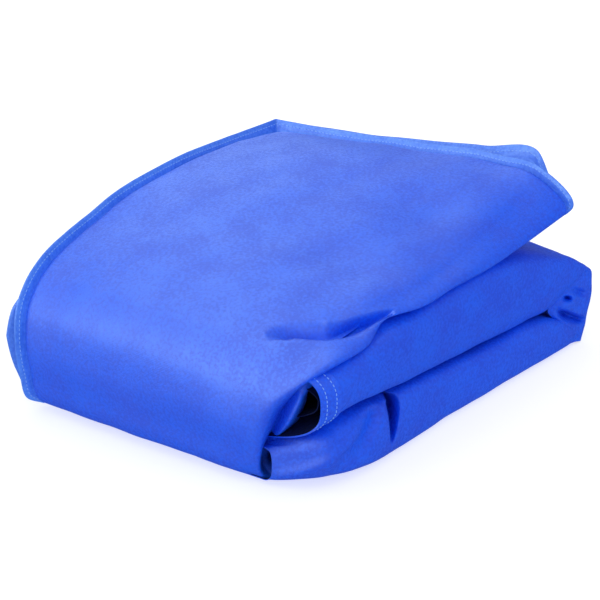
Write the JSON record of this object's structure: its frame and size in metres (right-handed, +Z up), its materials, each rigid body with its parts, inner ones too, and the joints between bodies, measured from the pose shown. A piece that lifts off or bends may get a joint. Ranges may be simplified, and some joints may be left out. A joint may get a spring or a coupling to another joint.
{
  "type": "agility tunnel chute",
  "caption": "Fabric chute of a dog agility tunnel: a hemmed royal-blue polyester sleeve, flattened and folded into a stack of leaves for storage.",
  "frame": {"origin": "on the ground, under the middle of the folded stack's bounding box", "axes": "+X along the stack from the rounded wrap to the end fold, +Y from the folded front edge to the hemmed back edge, +Z up"},
  "size_m": [0.4902, 0.3904, 0.1861],
  "materials": {
    "woven_polyester": "royal-blue plain-weave coated polyester, satin, with a faint weave",
    "hem_polyester": "the same cloth turned twice, with rows of topstitching",
    "inner_polyester": "inner face of the same cloth, a little darker"
  },
  "bodies": {
    "root": {"bottom_leaf_lower": "woven_polyester", "bottom_leaf_upper": "woven_polyester", "bottom_leaf_side_seam": "hem_polyester", "bottom_leaf_inner_folds": "inner_polyester", "end_fold_lower": "woven_polyester", "wrap_outer_lower": "woven_polyester", "wrap_inner_lower": "woven_polyester", "wrap_hem_outer_lower": "hem_polyester", "wrap_hem_inner_lower": "hem_polyester"},
    "middle_leaf": {"middle_leaf_lower": "woven_polyester", "middle_leaf_upper": "woven_polyester", "middle_leaf_side_seam": "hem_polyester", "middle_leaf_inner_folds": "inner_polyester", "exit_hem_lower": "hem_polyester", "exit_hem_upper": "hem_polyester", "end_fold_upper": "woven_polyester"},
    "top_leaf": {"wrap_outer_upper": "woven_polyester", "wrap_inner_upper": "woven_polyester", "wrap_hem_outer_upper": "hem_polyester", "wrap_hem_inner_upper": "hem_polyester", "top_leaf_front_panel": "woven_polyester", "second_ply": "woven_polyester", "second_ply_hem": "hem_polyester"},
    "mouth_flap": {"mouth_flap_panel": "woven_polyester", "mouth_flap_hem": "hem_polyester"}
  },
  "joints": [
    {"name": "top_leaf_unfold", "type": "hinge", "parent": "root", "child": "top_leaf", "pos_m": [-0.2461, -0.0032, 0.0755], "axis": [0, -1, 0], "range_deg": [0, 165]},
    {"name": "mouth_flap_peel", "type": "hinge", "parent": "top_leaf", "child": "mouth_flap", "pos_m": [0.0049, -0.0032, 0.174], "axis": [0.7378, -0.675, 0], "range_deg": [0, 20]},
    {"name": "middle_leaf_lift", "type": "hinge", "parent": "root", "child": "middle_leaf", "pos_m": [0.2459, -0.0032, 0.048], "axis": [0, 1, 0], "range_deg": [0, 20]}
  ],
  "couplings": [
    {"joint": "middle_leaf_lift", "follows": "top_leaf_unfold", "ratio": 0.12}
  ]
}
